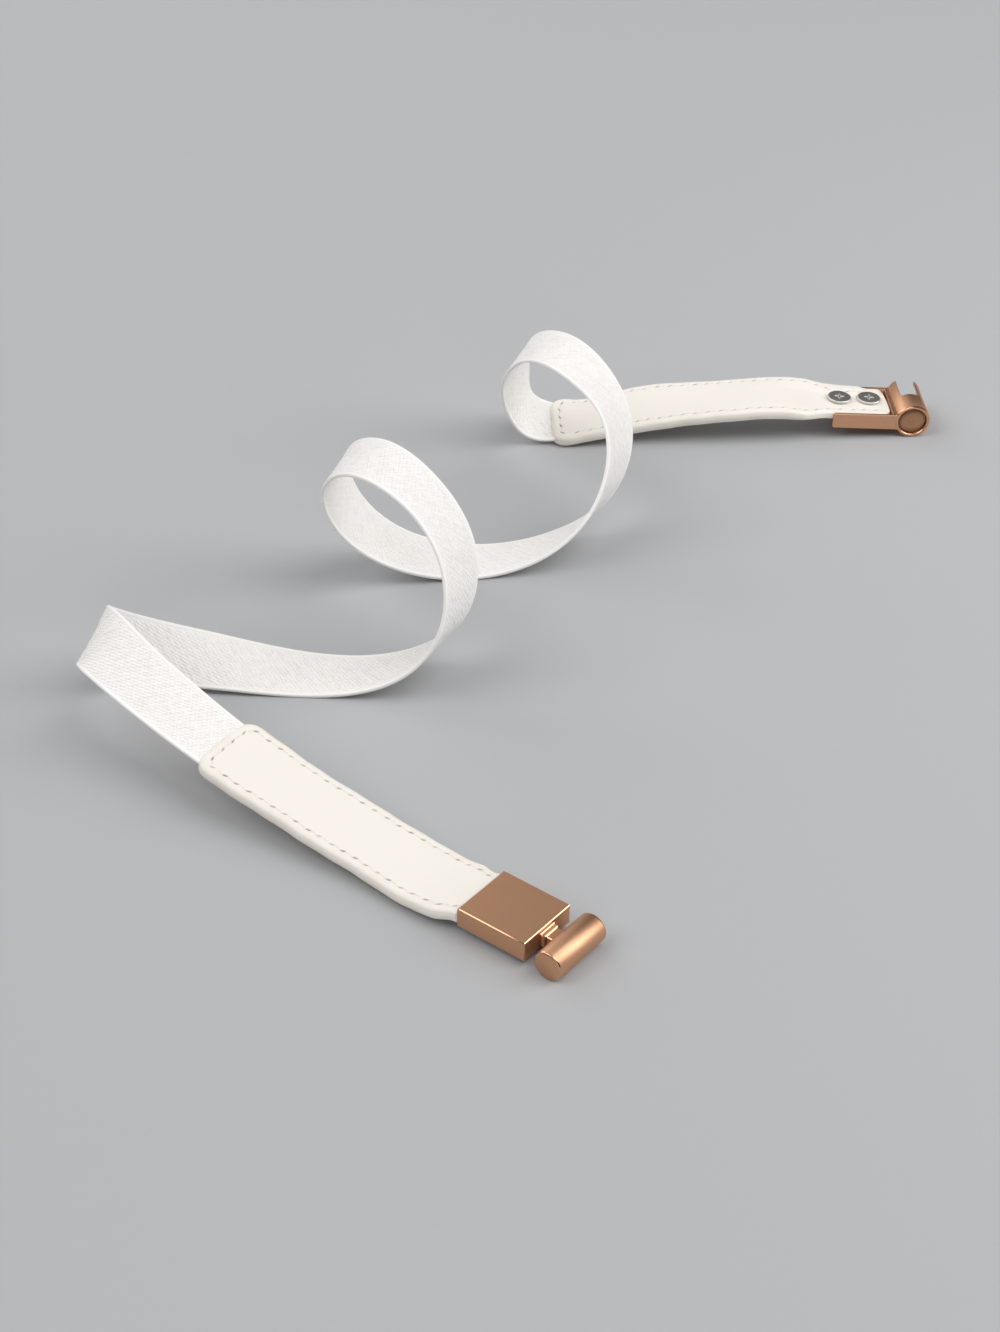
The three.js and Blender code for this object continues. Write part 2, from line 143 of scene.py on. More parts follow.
class BeltLine:
    """The belt's smooth middle line. Distances start at the near tray's mouth, in millimetres."""

    def __init__(self):
        depths = (0, LENGTH_IN_TRAY / 2, LENGTH_IN_TRAY)
        near = [NEAR_TRAY.row(depth) for depth in reversed(depths)]
        far = [FAR_TRAY.row(depth) for depth in depths]
        self.rows = np.array([*near, *ROUTE, *far], float)
        steps = np.linalg.norm(np.diff(self.rows[:, :3], axis=0), axis=1)
        self.knots = np.concatenate([[0], np.cumsum(steps)]) - LENGTH_IN_TRAY
        self.end = self.knots[-len(depths)]
        count = len(self.rows)
        system = np.eye(count)
        slopes = np.zeros_like(self.rows)
        gaps = np.diff(self.knots)[:, None]
        rise = np.diff(self.rows, axis=0) / gaps
        for i in range(1, count - 1):
            system[i, i - 1:i + 2] = gaps[i - 1, 0], 2 * (gaps[i - 1, 0] + gaps[i, 0]), gaps[i, 0]
            slopes[i] = 6 * (rise[i] - rise[i - 1])
        self.bends = np.linalg.solve(system, slopes)

    def values(self, places):
        """The five columns of the route at each place."""
        last = len(self.knots) - 2
        i = np.clip(np.searchsorted(self.knots, places, side="left") - 1, 0, last)
        gap = self.knots[i + 1] - self.knots[i]
        a = ((self.knots[i + 1] - places) / gap)[:, None]
        b = ((places - self.knots[i]) / gap)[:, None]
        bend = (a**3 - a) * self.bends[i] + (b**3 - b) * self.bends[i + 1]
        return a * self.rows[i] + b * self.rows[i + 1] + bend * gap[:, None] ** 2 / 6

    def frames(self, places):
        """The point, across and back vectors at each place, for many places at once."""
        small = 0.05
        here = self.values(places)
        along = self.values(places + small)[:, :3] - self.values(places - small)[:, :3]
        along /= np.linalg.norm(along, axis=1)[:, None]
        turn, lean = np.radians(here[:, 3]), np.radians(here[:, 4])
        level = np.cos(lean)
        across = np.stack([-np.sin(turn) * level, np.cos(turn) * level, np.sin(lean)], 1)
        across -= along * (across * along).sum(1)[:, None]
        across /= np.linalg.norm(across, axis=1)[:, None]
        return here[:, :3] - MIDDLE, across, np.cross(along, across)

    def bent(self, place, across, back):
        """Points in metres, for arrays of the place, the distance across and the height."""
        shape = np.shape(place)
        point, side, up = self.frames(np.ravel(place).astype(float))
        made = point + side * np.ravel(across)[:, None] + up * np.ravel(back)[:, None]
        return (made * MM).reshape(*shape, 3)


LINE = BeltLine()
NEAR_TAB_END = NEAR_TAB
FAR_TAB_END = LINE.end - FAR_TAB


def smoothstep(value, low, high):
    """A soft ramp from 0 at the low value to 1 at the high one."""
    share = np.clip((value - low) / (high - low), 0, 1)
    return share * share * (3 - 2 * share)


def blurred(field, times):
    """A field of numbers, smoothed along its rows and scaled up to keep some of its spread."""
    for _ in range(times):
        field = (np.roll(field, 1, 1) + 2 * field + np.roll(field, -1, 1)) / 2.6
    return field


def riding_piece(name, mesh):
    """A piece in the frame with this mesh, riding on the belt."""
    piece = bpy.data.objects.new(name, mesh)
    bpy.context.scene.collection.objects.link(piece)
    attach(piece, "root")
    return piece


def new_piece(name, points, faces, material, marks):
    """A smooth riding piece of these points and faces, with its numbers for the material."""
    mesh = bpy.data.meshes.new(name)
    mesh.from_pydata(np.reshape(points, (-1, 3)).tolist(), [], faces)
    for key, numbers in marks.items():
        layer = mesh.attributes.new(key, "FLOAT", "POINT")
        layer.data.foreach_set("value", np.ravel(numbers).astype(np.float32))
    mesh.polygons.foreach_set("use_smooth", [True] * len(mesh.polygons))
    mesh.materials.append(material)
    return riding_piece(name, mesh)


def face_outward(piece):
    """Turns every face of a closed piece outward."""
    shape = bmesh.new()
    shape.from_mesh(piece.data)
    bmesh.ops.recalc_face_normals(shape, faces=shape.faces)
    shape.to_mesh(piece.data)
    shape.free()


def tube_faces(rings, count):
    """Quads round a tube of rings, and a cap on each end."""
    ring, j = np.meshgrid(np.arange(rings - 1), np.arange(count), indexing="ij")
    a = ring * count + j
    b = ring * count + (j + 1) % count
    quads = np.stack([a, b, b + count, a + count], -1).reshape(-1, 4).tolist()
    last = (rings - 1) * count
    return [*quads, list(range(count))[::-1], list(range(last, last + count))]


def grid_faces(index, flip=False):
    """Quads of a grid of point numbers, turned over if flip is true."""
    quads = np.stack([index[:-1, :-1], index[1:, :-1], index[1:, 1:], index[:-1, 1:]], -1)
    quads = quads[..., ::-1] if flip else quads
    return quads.reshape(-1, 4).tolist()


def zip_row(first, second, flip):
    """Triangles between two rows of point numbers that differ in length."""
    faces = []
    i = j = 0
    while i < len(first) - 1 or j < len(second) - 1:
        ahead = (i + 1) / (len(first) - 1) <= (j + 1) / (len(second) - 1)
        if j == len(second) - 1 or (i < len(first) - 1 and ahead):
            faces.append((first[i], first[i + 1], second[j]))
            i += 1
        else:
            faces.append((first[i], second[j + 1], second[j]))
            j += 1
    return [tuple(int(k) for k in (f[::-1] if flip else f)) for f in faces]


# Materials


# The painted shade inside the leather's stitch holes.
HOLE_SHADE = (0.10, 0.08, 0.06, 1)


class Value:
    """A shader value. Arithmetic on it adds Math nodes."""

    def __init__(self, finish, socket):
        self.finish = finish
        self.socket = socket

    def math(self, operation, *others):
        """A Math node of this value and any others."""
        inputs = dict(enumerate((self, *others)))
        return self.finish.node("ShaderNodeMath", {"operation": operation}, inputs)

    def __add__(self, other):
        return self.math("ADD", other)

    __radd__ = __add__

    def __mul__(self, other):
        return self.math("MULTIPLY", other)

    __rmul__ = __mul__

    def __sub__(self, other):
        return self.math("SUBTRACT", other)

    def __rsub__(self, other):
        return (self * -1) + other


class Finish:
    """A material with one shader, and the nodes that vary it over the surface."""

    def __init__(self, name, colour, roughness, metallic=0.0, **constants):
        self.material = bpy.data.materials.new(name)
        self.material.use_nodes = True
        self.tree = self.material.node_tree
        self.tree.nodes.clear()
        self.shader = self.tree.nodes.new("ShaderNodeBsdfPrincipled")
        output = self.tree.nodes.new("ShaderNodeOutputMaterial")
        self.tree.links.new(self.shader.outputs[0], output.inputs["Surface"])
        self.material.diffuse_color = (*colour, 1)
        self.set("Base Color", (*colour, 1))
        self.set("Roughness", roughness)
        self.set("Metallic", metallic)
        for key, value in constants.items():
            self.set(key.replace("_", " "), value)

    def set(self, socket, value):
        """Gives a socket of the shader a value or a link."""
        self.join(self.shader.inputs[socket], value)

    def join(self, socket, value):
        """Links a shader value to a socket, or sets a plain one on it."""
        if isinstance(value, Value):
            self.tree.links.new(value.socket, socket)
        else:
            socket.default_value = value

    def node(self, kind, settings, inputs, output=0):
        """Adds a node: its settings first, then the values or links of its sockets."""
        made = self.tree.nodes.new(kind)
        for key, value in settings.items():
            setattr(made, key, value)
        for key, value in inputs.items():
            self.join(made.inputs[key], value)
        return Value(self, made.outputs[output])

    def mark(self, name):
        """A number that the mesh carries at each point."""
        return self.node("ShaderNodeAttribute", {"attribute_name": name}, {}, "Fac")

    def place(self):
        """Where a point is in the piece, in metres."""
        return self.node("ShaderNodeTexCoord", {}, {}, "Object")

    def noise(self, scale, detail=2.0, roughness=0.5, vector=None):
        """Soft random clouds from 0 to 1, in the piece's own place unless a vector is given."""
        inputs = {"Scale": scale, "Detail": detail, "Roughness": roughness}
        inputs["Vector"] = vector or self.place()
        return self.node("ShaderNodeTexNoise", {}, inputs, "Fac")

    def mix(self, share, first, second):
        """A colour between two colours."""
        settings = {"data_type": "RGBA", "clamp_factor": True}
        made = self.node("ShaderNodeMix", settings, {"Factor": share}, 2)
        node = made.socket.node
        self.join(node.inputs[6], first)
        self.join(node.inputs[7], second)
        return made

    def vector(self, x, y, z):
        """A place from three numbers."""
        return self.node("ShaderNodeCombineXYZ", {}, {"X": x, "Y": y, "Z": z})

    def bump(self, height, distance, strength):
        """Puts a height, which stands for this distance in metres, on the shader's normal."""
        inputs = {"Height": height, "Distance": distance, "Strength": strength}
        self.set("Normal", self.node("ShaderNodeBump", {}, inputs))


def tint(colour, share=1.0):
    """A colour times a share, or times a share for each channel, with an alpha of 1."""
    return (*(np.array(colour) * share), 1)


def white_twill(look):
    """White twilled elastic: knotty ribs with painted shade between them, and painted shade in dots
    along the groove by each selvedge.
    """
    colour = look.strap_colour
    finish = Finish("white_twill", colour, 0.85, Sheen_Weight=0.1, Sheen_Roughness=0.5)
    rib, along, across = (finish.mark(name) for name in ("rib", "along", "across"))
    body, groove = finish.mark("body"), finish.mark("groove")
    row = along + across * look.rib_slope
    weave = finish.vector(row * 0.75, across * 0.65, 0)
    knots = finish.noise(1.0, 1, vector=weave)
    fuzz = finish.noise(2200)
    twill = (across * 4.4 + row * 2.3).math("SINE")
    yarn = (across * 11 - row * 2).math("SINE")
    finish.bump((yarn * 0.3 + twill * 0.5) * body + fuzz * 0.9, 0.00012, 0.9)
    # Painted shade: the colour is darkened towards half of it in the furrows between the ribs, more
    # at the knots, and in dots along each selvedge's groove, with a little random fuzz.
    stitch = (twill * 0.35 + 0.65) * (knots * 3.6 - 0.7)
    dots = (along * 7.5).math("SINE") * 0.5 + 0.5
    painted_rib_shade = (1 - rib) * stitch * body * 0.24
    shade = painted_rib_shade + groove * (dots * 0.3 + 0.1) + (fuzz - 0.5) * 0.12
    finish.set("Base Color", finish.mix(shade, tint(colour), tint(colour, 0.5)))
    return finish.material


def cream_leather(look):
    """Smooth cream leather: a fine grain, soft clouds of tone, and painted shade in the stitch
    holes.
    """
    colour = look.leather_colour
    finish = Finish("cream_leather", colour, 0.45)
    hole, rim = finish.mark("hole"), finish.mark("rim")
    cells = {"Vector": finish.place(), "Scale": 1500.0}
    grain = finish.node("ShaderNodeTexVoronoi", {"feature": "DISTANCE_TO_EDGE"}, cells)
    cloud = finish.noise(150, 3, 0.6)
    wrinkle = finish.noise(420, 3)
    height = grain.math("MINIMUM", 0.12) * 1.2 + wrinkle * (rim * 2.2 + 0.4)
    finish.bump(height, 0.00008, 0.5)
    warm = tint(colour, (0.97, 0.92, 0.85))
    base = finish.mix((cloud - 0.35) * (rim * 1.1 + 0.12), tint(colour), warm)
    # The stitch holes get painted shade, darkest where they are deepest.
    finish.set("Base Color", finish.mix(hole, base, HOLE_SHADE))
    finish.set("Roughness", cloud * 0.1 + 0.38 + rim * 0.05)
    return finish.material


def sewing_thread(look):
    """Waxed sewing thread in the leather's colour, with its twist and painted shade in the twist's
    grooves.
    """
    colour = look.thread_colour
    finish = Finish("sewing_thread", colour, 0.55)
    twist = (finish.mark("along") * 8 + finish.mark("around") * 2).math("SINE")
    finish.bump(twist, 0.00004, 0.8)
    # Painted shade: the thread is darker in the grooves of its twist.
    shade = finish.mix((1 - twist) * 0.3, tint(colour), tint(colour, 0.85))
    finish.set("Base Color", shade)
    return finish.material


def rose_gold(look):
    """Satin rose-gold plating with soft wear, and polish and painted shade where marked."""
    colour = look.metal_colour
    finish = Finish("rose_gold", colour, 0.28, 1.0)
    soft = finish.noise(70)
    finish.bump(finish.noise(1800), 0.00001, 0.3)
    finish.set("Roughness", (soft * 0.1 + 0.4) * (1 - finish.mark("polish") * 0.6))
    # Soft clouds of wear in the plating's colour.
    wear_and_highlight = finish.mix(soft, tint(colour), tint(colour, (0.92, 0.88, 0.85)))
    # Painted shade where marked: a dark brown copy of the plating.
    shade_tint = tint(colour, (0.26, 0.2, 0.18))
    finish.set("Base Color", finish.mix(finish.mark("tarnish"), wear_and_highlight, shade_tint))
    return finish.material


def grey_steel(look):
    """Dull grey plated steel with turned rings and random tone, and a painted highlight on its
    rolled rim and its star.
    """
    finish = Finish("grey_steel", look.rivet_colour, 0.3, 1.0)
    cloud = finish.noise(900, 3)
    ring = (finish.mark("radius") * 38).math("SINE")
    finish.bump(ring * 0.3 + cloud, 0.00002, 0.5)
    finish.set("Roughness", cloud * 0.2 + 0.4)
    # A painted highlight: the rolled rim, the star's lips and its hollow are mixed towards the
    # bright rim colour, over random tone.
    wear_and_highlight = finish.mark("wear_and_highlight") + (cloud - 0.5) * 0.4
    dull, bright = tint(look.rivet_colour), tint(look.rim_colour)
    finish.set("Base Color", finish.mix(wear_and_highlight, dull, bright))
    return finish.material


def studio_floor(look):
    """Plain pale grey paper."""
    colour = look.floor_colour
    finish = Finish("studio_floor", colour, 0.9)
    cloud = finish.noise(1.3)
    finish.set("Base Color", finish.mix(cloud, tint(colour), tint(colour, 0.965)))
    return finish.material


def finish_of(context, maker):
    """The material of this maker, made once."""
    found = bpy.data.materials.get(maker.__name__)
    return found or maker(context.scene.belt_look)


# The strap


# The columns of a selvedge: distance inside the edge, height as a share of half the strap's
# thickness, and the shares of the ribs and of the groove. Fully ribbed columns lie between them.
SELVEDGE = ((0.04, 0.5, 0, 0), (0.2, 0.95, 0, 0), (0.55, 1.12, 0, 0), (0.9, 1.06, 0, 0.1),
            (1.18, 0.88, 0, 0.6), (1.42, 0.88, 0.3, 0.5), (1.75, 0.97, 0.8, 0))
RIBBED_FROM = 2.2
RIBBED_COLUMNS = 17

# How far the visible strap goes on inside each tab.
STRAP_INSIDE = 12.0

# The height of each row of one rib, as a share of its relief, and the ribs' waver.
RIB_MIDDLE = 0.55
RIB_ROWS = np.array([0.0, RIB_MIDDLE, 1.0, RIB_MIDDLE])
RIB_WAVER = 0.13


def strap_section():
    """Columns round the strap's section: across, height, share of the ribs, of the groove."""
    half, thick = STRAP_WIDTH / 2, STRAP_THICKNESS / 2
    ribbed = np.linspace(half - RIBBED_FROM, RIBBED_FROM - half, RIBBED_COLUMNS)
    top = [(half - inward, high * thick, rib, groove) for inward, high, rib, groove in SELVEDGE]
    top += [(u, thick, 1, 0) for u in ribbed]
    top += [(inward - half, high * thick, rib, groove)
            for inward, high, rib, groove in reversed(SELVEDGE)]
    bottom = [(-u, -height, rib, groove) for u, height, rib, groove in top]
    return np.array([*top, *bottom], float)


def ribbed_strap(size, slope):
    """The strap's points, faces and numbers for the material, with ribs at this slope."""
    section = strap_section()
    columns = len(section)
    pitch = size.rib_pitch / MM
    low, high = NEAR_TAB_END - STRAP_INSIDE, FAR_TAB_END + STRAP_INSIDE
    ribs = int((high - low) / pitch)
    per_rib = len(RIB_ROWS)
    rows = ribs * per_rib + 1
    row = np.arange(rows)
    rng = np.random.default_rng(7)
    shape = (ribs + 1, columns // 2)
    waver = blurred(rng.normal(0, 1, shape), 3) * RIB_WAVER
    knots = blurred(rng.normal(0, 1, shape), 1) * size.knots
    waver, knots = (np.concatenate([field, field[:, ::-1]], 1)[row // per_rib]
                    for field in (waver, knots))
    across, height, body, groove = (np.broadcast_to(c, (rows, columns)) for c in section.T)
    along = low + row[:, None] * pitch / per_rib + waver * body - slope * across
    rib = RIB_ROWS[row % per_rib][:, None] * (1 + knots)
    relief = (rib - RIB_MIDDLE) * size.rib_relief / MM * body
    points = LINE.bent(along, across, height + np.sign(height) * relief)
    # rib, body and groove also place the painted shade in the strap's colour.
    marks = {"rib": np.clip(rib, 0, 1.2), "body": body, "groove": groove, "along": along,
             "across": across}
    return points, tube_faces(rows, columns), marks


class BELT_OT_strap(bpy.types.Operator):
    """Makes the woven elastic strap, with raised twill ribs and rounded selvedges"""

    bl_idname = "belt.strap"
    bl_label = "Woven strap"

    def execute(self, context):
        scene = context.scene
        points, faces, marks = ribbed_strap(scene.belt_size, scene.belt_look.rib_slope)
        piece = new_piece("woven_strap", points, faces, finish_of(context, white_twill), marks)
        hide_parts("elastic_band")
        return {"FINISHED"}


# The leather tabs


# How far inside the outline the rings of a tab's faces lie, and how high those of its wall lie.
INSETS = (0.0, 0.06, 0.18, 0.36, 0.6, 0.9, 1.25, 1.6, 1.95, 2.25, 2.42, 2.54, 2.65, 2.76, 2.88,
          3.05)
WALL = (0.4, 0.2, 0.0, -0.2, -0.4)
WALL_REACH = 0.6
WALL_BULGE = 0.12

# How many points each half of the outline has along its side, round half a corner, and across
# the sewn end and the tip.
SIDE_POINTS, CORNER_POINTS, END_POINTS, TIP_POINTS = 400, 9, 20, 14

# The neck at the tray's mouth: the distances before it between which the tab widens.
NECK = -0.6, 0.9

# The leather's rounded edge, and the size of its waves and of the furrow under the seam.
EDGE_WIDTH, EDGE_DROP = 1.8, 1.3
SWELL_HEIGHT = 0.06
RIPPLE_HEIGHT, RIPPLE_INSET, RIPPLE_WIDTH = 0.05, 1.4, 0.6
FURROW_DEPTH, FURROW_WIDTH = 0.04, 0.5

# The slit at the sewn end, which takes the strap.
SLIT_HALF_WIDTH = 10.6
SLIT_HALF_HEIGHT = 0.3
SLIT_DEPTH = 1.4
END_BOW = 0.7

# The seam: how far inside the outline it runs, its stitches, its slanted holes, the shallowest as
# a share of the deepest, and its thread.
STITCH_INSET = 2.65
STITCH_PITCH = 4.25
STITCH_WANDER = 0.14
SEAM_START = 0.6
SEAM_STOP = 4.2
HOLE_LENGTH, HOLE_WIDTH, HOLE_SLANT = 0.85, 0.25, 0.3
HOLE_DEPTH = 0.45
HOLE_DIMPLE = 0.09
SHALLOWEST_HOLE = 0.45
THREAD_SPAN = 0.16, 0.84
THREAD_RADIUS = 0.26
THREAD_SINK = 0.32
THREAD_ARCH = 0.16

# The lip, where the far tab's leather rises over its tray's back wall. By the distance behind the
# tray's mouth: how high it stands, and how far from the middle it reaches.
LIP_RISE = (-4, 6, 11, 15), (1.15, 0.65, 0.55, 0.3)
LIP_REACH = (-9, 0, 11.5, 14), (TAB_WIDTH / 2 + 0.1, 10.9, 10.1, 8.8)
LIP_EDGE = 0.25

# Where the lip starts and is full along the tab and across it, and where it ends inward.
LIP_ALONG = -24, -6
LIP_ACROSS = 0, 6
LIP_INWARD = 1.2, 9

# The tab with a lip is narrower on its other side, and its underside is thinner from the first
# pair of distances to the second, where it slips into the tray.
LIP_NARROWS = 1.4
LIP_TAPER = 2.5
LIP_THINS = 1.7
THIN_FROM, THIN_TO = (-17, -0.5), (0.4, 3)


class Tab:
    """A leather tab laid out flat: d runs from its sewn end to its tip, u across.

    corners and tips are the radii of its round corners at both ends, one for each side. lip is 1
    for a tab that rises over its tray's back wall, and reach is how far its tip goes past the
    usual length in the tray.
    """

    def __init__(self, name, node, sewn_end, mouth, direction, corners, tips, lip, reach):
        self.name = name
        self.node = node
        self.sewn_end = sewn_end
        self.direction = direction
        self.corners = corners
        self.tip_corners = tips
        self.lip = lip
        self.mouth = mouth
        self.length = mouth + LENGTH_IN_TRAY + reach
        self.build_loop()
        self.build_holes()

    def half_width(self, d, side):
        """The width on one side at a distance from the sewn end, without the round corners."""
        before_mouth = self.mouth - d
        held, full = WIDTH_IN_TRAY / 2, TAB_WIDTH / 2
        narrow = self.lip * (side < 0)
        mouth = WIDTH_AT_MOUTH / 2 - narrow * LIP_NARROWS
        taper = smoothstep(before_mouth, TAB_SHOULDER, TAB_TAPER + narrow * LIP_TAPER)
        neck = smoothstep(before_mouth, *NECK)
        waver = 0.12 * np.sin(d * 0.21 + self.direction) + 0.08 * np.sin(d * 0.53)
        return held + (mouth - held) * neck + (full - mouth) * taper + waver * taper

    def half_outline(self, side):
        """One side's half of the outline as its end, side and tip: d, u and the inward way."""
        corner, tip = (pair[int(side < 0)] for pair in (self.corners, self.tip_corners))
        end, held = self.half_width(np.array([0.0, self.length]), side)
        last = self.length - tip
        eighth = np.linspace(0, np.pi / 4, CORNER_POINTS)

        def arc(angle, d, u, radius, way):
            """Points of a round corner about d and u."""
            turn = np.stack([way * np.cos(angle), np.sin(angle)], 1)
            return np.concatenate([turn * radius + [d, u], -turn], 1)

        def line(d, u, inward):
            """Points of a straight run with one inward way."""
            return np.stack(np.broadcast_arrays(d, u, *inward), 1)

        end_line = line(0.0, np.linspace(0, end - corner, END_POINTS)[:-1], (1, 0))
        end_arc = arc(eighth, corner, end - corner, corner, -1)
        side_arc = arc(eighth[1:] + np.pi / 4, corner, end - corner, corner, -1)
        middle = np.linspace(corner, last, SIDE_POINTS)[1:-1]
        middle = line(middle, self.half_width(middle, side), (0, -1))
        late_arc = arc(np.pi / 2 - eighth[:-1], last, held - tip, tip, 1)
        tip_arc = arc(np.pi / 4 - eighth, last, held - tip, tip, 1)
        tip_line = line(self.length, np.linspace(held - tip, 0, TIP_POINTS)[1:], (-1, 0))
        mirror = np.array([1, side, 1, side])
        return (np.concatenate([end_line, end_arc]) * mirror,
                np.concatenate([side_arc, middle, late_arc]) * mirror,
                np.concatenate([tip_arc, tip_line]) * mirror)

    def build_loop(self):
        """The closed outline: the end row, one side, the tip row and the other side."""
        left_end, left_side, left_tip = self.half_outline(1)
        right_end, right_side, right_tip = self.half_outline(-1)
        end_row = np.concatenate([right_end[::-1], left_end[1:]])
        tip_row = np.concatenate([left_tip, right_tip[::-1][1:]])
        loop = np.concatenate([end_row, left_side, tip_row, right_side[::-1]])
        self.loop, self.inward = loop[:, :2], loop[:, 2:]
        self.ends, self.sides, self.tips = len(end_row), len(left_side), len(tip_row)

    def build_holes(self):
        """The places of the stitch holes, and the way that the seam runs there."""
        start = self.ends + self.sides + self.tips // 2
        seam = np.roll(self.loop + self.inward * STITCH_INSET, -start, axis=0)
        seam = seam[seam[:, 0] < self.length - SEAM_STOP]
        run = np.concatenate([[0], np.cumsum(np.linalg.norm(np.diff(seam, axis=0), axis=1))])
        count = int(run[-1] / STITCH_PITCH) + 1
        rng = np.random.default_rng(5 + self.direction)
        places = np.linspace(SEAM_START, run[-1] - SEAM_START, count)
        places = places + rng.normal(0, STITCH_WANDER, count)

        def at(where):
            """Points on the seam."""
            return np.stack([np.interp(where, run, seam[:, k]) for k in (0, 1)], 1)

        self.holes = at(places)
        step = 0.4
        way = at(places + step) - at(places - step)
        self.ways = way / np.linalg.norm(way, axis=1)[:, None]
        self.depths = rng.uniform(SHALLOWEST_HOLE, 1.0, count)

    def hole_marks(self, flat):
        """How deep in a stitch hole each flat point is, and how near to one, from 0 to 1."""
        gap = flat[:, None, :] - self.holes
        run = (gap * self.ways).sum(-1)
        side = gap[..., 1] * self.ways[:, 0] - gap[..., 0] * self.ways[:, 1]
        slanted = (side - run * HOLE_SLANT) / HOLE_WIDTH
        slit = ((run / HOLE_LENGTH) ** 2 + slanted**2) ** 2
        return (np.exp(-slit) * self.depths).max(1), np.exp(-((gap**2).sum(-1) / 1.3)).max(1)

    def lip_share(self, flat):
        """How far the leather rises over the tray's back wall at each flat point, from 0 to 1."""
        depth = flat[:, 0] - self.mouth
        return self.lip * smoothstep(depth, *LIP_ALONG) * smoothstep(flat[:, 1], *LIP_ACROSS)

    def lip_height(self, flat, inset):
        """How high the lip stands at flat points this far inside the outline."""
        rise = np.interp(flat[:, 0] - self.mouth, *LIP_RISE)
        return self.lip_share(flat) * rise * (1 - smoothstep(inset, *LIP_INWARD))

    def half_thickness(self, flat, inset):
        """Half the leather's thickness at flat points this far inside the outline."""
        d, u = flat[:, 0], flat[:, 1]
        share = np.clip(1 - inset / EDGE_WIDTH, 0, 1)
        drop = EDGE_DROP * (1 - 0.65 * smoothstep(d - self.mouth, -3, 1))
        rounded = TAB_THICKNESS / 2 - drop * (1 - np.sqrt(1 - share**2))
        furrow = FURROW_DEPTH * np.exp(-(((inset - STITCH_INSET) / FURROW_WIDTH) ** 2))
        swell = SWELL_HEIGHT * (np.sin(d * 0.11) + 0.5 * np.sin(d * 0.5 + u * 0.4))
        near_edge = np.exp(-(((inset - RIPPLE_INSET) / RIPPLE_WIDTH) ** 2))
        ripple = RIPPLE_HEIGHT * np.sin(d * 1.9 + 0.6 * np.sin(d * 0.7)) * near_edge
        return rounded - furrow + swell * smoothstep(inset, 3, 6) + ripple

    def upper(self, flat, inset):
        """The height of the upper face at flat points this far inside the outline."""
        return self.half_thickness(flat, inset) + self.lip_height(flat, inset)

    def lowered(self, flat, height):
        """A height turned down to the lower face, less deep where the tab slips into its tray."""
        depth = flat[:, 0] - self.mouth
        thin = smoothstep(depth, *THIN_FROM) * (1 - smoothstep(depth, *THIN_TO))
        return np.maximum(-height, np.minimum(self.lip * LIP_THINS * thin - height, -0.5))

    def lower(self, flat, inset):
        """The height of the lower face at flat points this far inside the outline."""
        return self.lowered(flat, self.half_thickness(flat, inset))

    def place(self, flat, height):
        """Flat points and heights, bent along the belt, in metres."""
        d, u = flat[:, 0], flat[:, 1]
        bowed = d - END_BOW * (1 - (u / 12.5) ** 2) * (1 - smoothstep(d, 0, 9))
        return LINE.bent(self.sewn_end + self.direction * bowed, u, height)


def face_ring(tab, face, inset):
    """One ring of a tab's upper or lower face: its flat points and their heights."""
    flat = tab.loop + tab.inward * inset
    if face < 0:
        return flat, tab.lower(flat, inset)
    lip = tab.lip_share(flat)
    height = tab.upper(flat, inset) if inset > 0 else tab.half_thickness(flat, inset)
    height = height + lip * LIP_EDGE * (inset == INSETS[1])
    reach = np.interp(flat[:, 0] - tab.mouth, *LIP_REACH)
    out = lip * np.maximum(0, reach - np.abs(tab.loop[:, 1])) * (1 - smoothstep(inset, 0.6, 3))
    flat[:, 1] += out * (inset >= INSETS[2])
    return flat, height


def wall_ring(tab, level):
    """One ring of a tab's wall, which bulges out and goes in where the strap enters."""
    flat = tab.loop - tab.inward * WALL_BULGE * (1 - (level / WALL_REACH) ** 2)
    slit = (np.arange(len(flat)) < tab.ends) & (abs(level) < SLIT_HALF_HEIGHT)
    flat[:, 0] += slit * SLIT_DEPTH * smoothstep(SLIT_HALF_WIDTH - np.abs(flat[:, 1]), 0, 1)
    return flat, np.full(len(flat), level)


